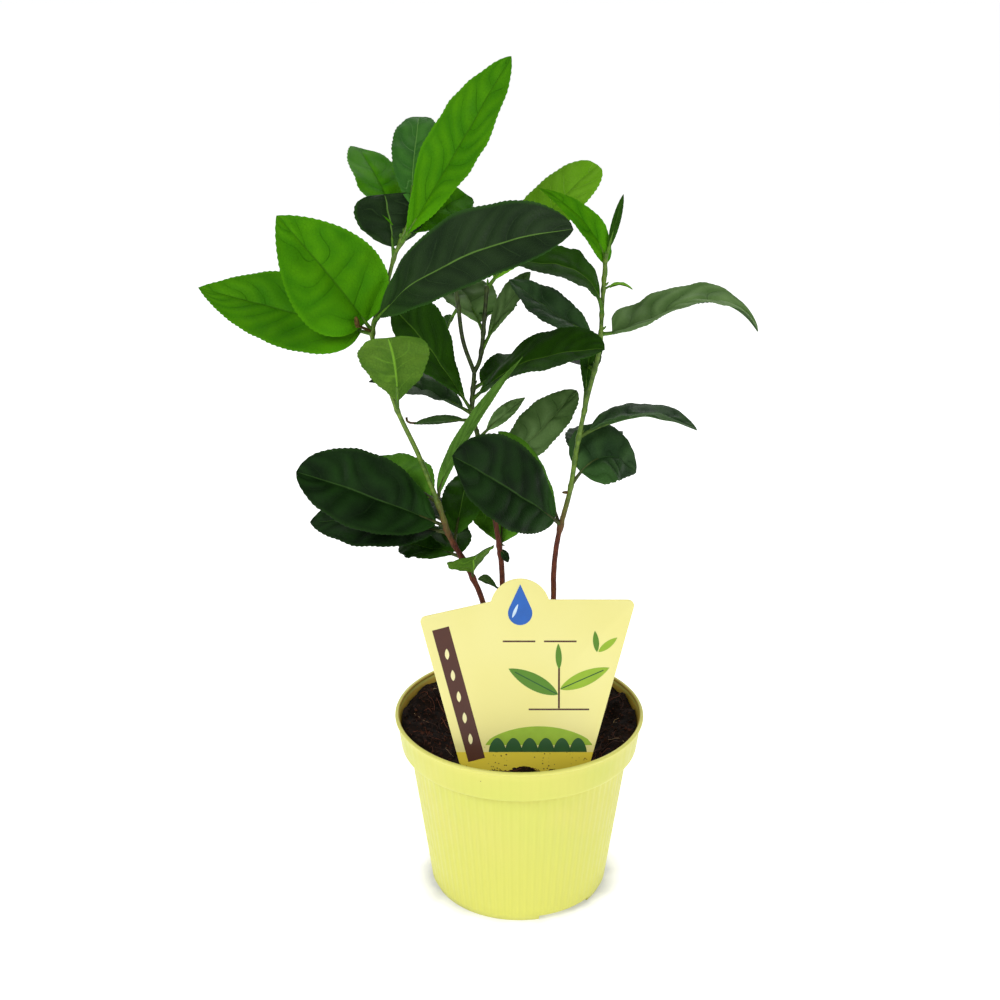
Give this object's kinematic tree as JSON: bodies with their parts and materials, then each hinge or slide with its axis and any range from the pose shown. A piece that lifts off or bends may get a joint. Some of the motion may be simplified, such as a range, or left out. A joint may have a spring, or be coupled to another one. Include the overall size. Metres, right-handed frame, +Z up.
{
  "type": "potted tea bush",
  "caption": "Young tea bush with upright leafy stems, glossy serrate leaves and a pale yellow round nursery pot with a plain stick-in card.",
  "frame": {"origin": "on the pot's axis, at the raised underside of its floor, 1.8 mm above the surface that the foot ring stands on", "axes": "+Z up, -Y towards the side with the card, +X to the right of someone facing that side"},
  "size_m": [0.2501, 0.1368, 0.4008],
  "materials": {
    "pot": "pale yellow moulded plastic, satin gloss, finely fluted",
    "peat": "moist crumbly peat with fibres",
    "card": "printed plastic card, satin",
    "bark": "thin red-brown bark, finely cracked",
    "dark_leaf": "leathery old leaf, glossy, sunken veins",
    "mid_leaf": "leathery leaf, satin gloss",
    "young_leaf": "thin young leaf, bright green, satin"
  },
  "bodies": {
    "root": {"pot": "pot", "soil": "peat", "label": "card", "left_stem": "bark", "middle_stem": "bark", "right_stem": "bark", "left_low_leaves": "dark_leaf", "left_middle_leaves": "mid_leaf", "left_crown_leaves": "young_leaf", "left_tip_leaves": "young_leaf", "middle_foot_leaves": "dark_leaf", "middle_fork_leaves": "mid_leaf", "middle_left_leaves": "mid_leaf", "middle_right_leaves": "young_leaf", "right_low_leaves": "dark_leaf", "right_middle_leaves": "dark_leaf", "right_upper_leaves": "dark_leaf", "right_tip_leaves": "young_leaf"}
  },
  "joints": []
}
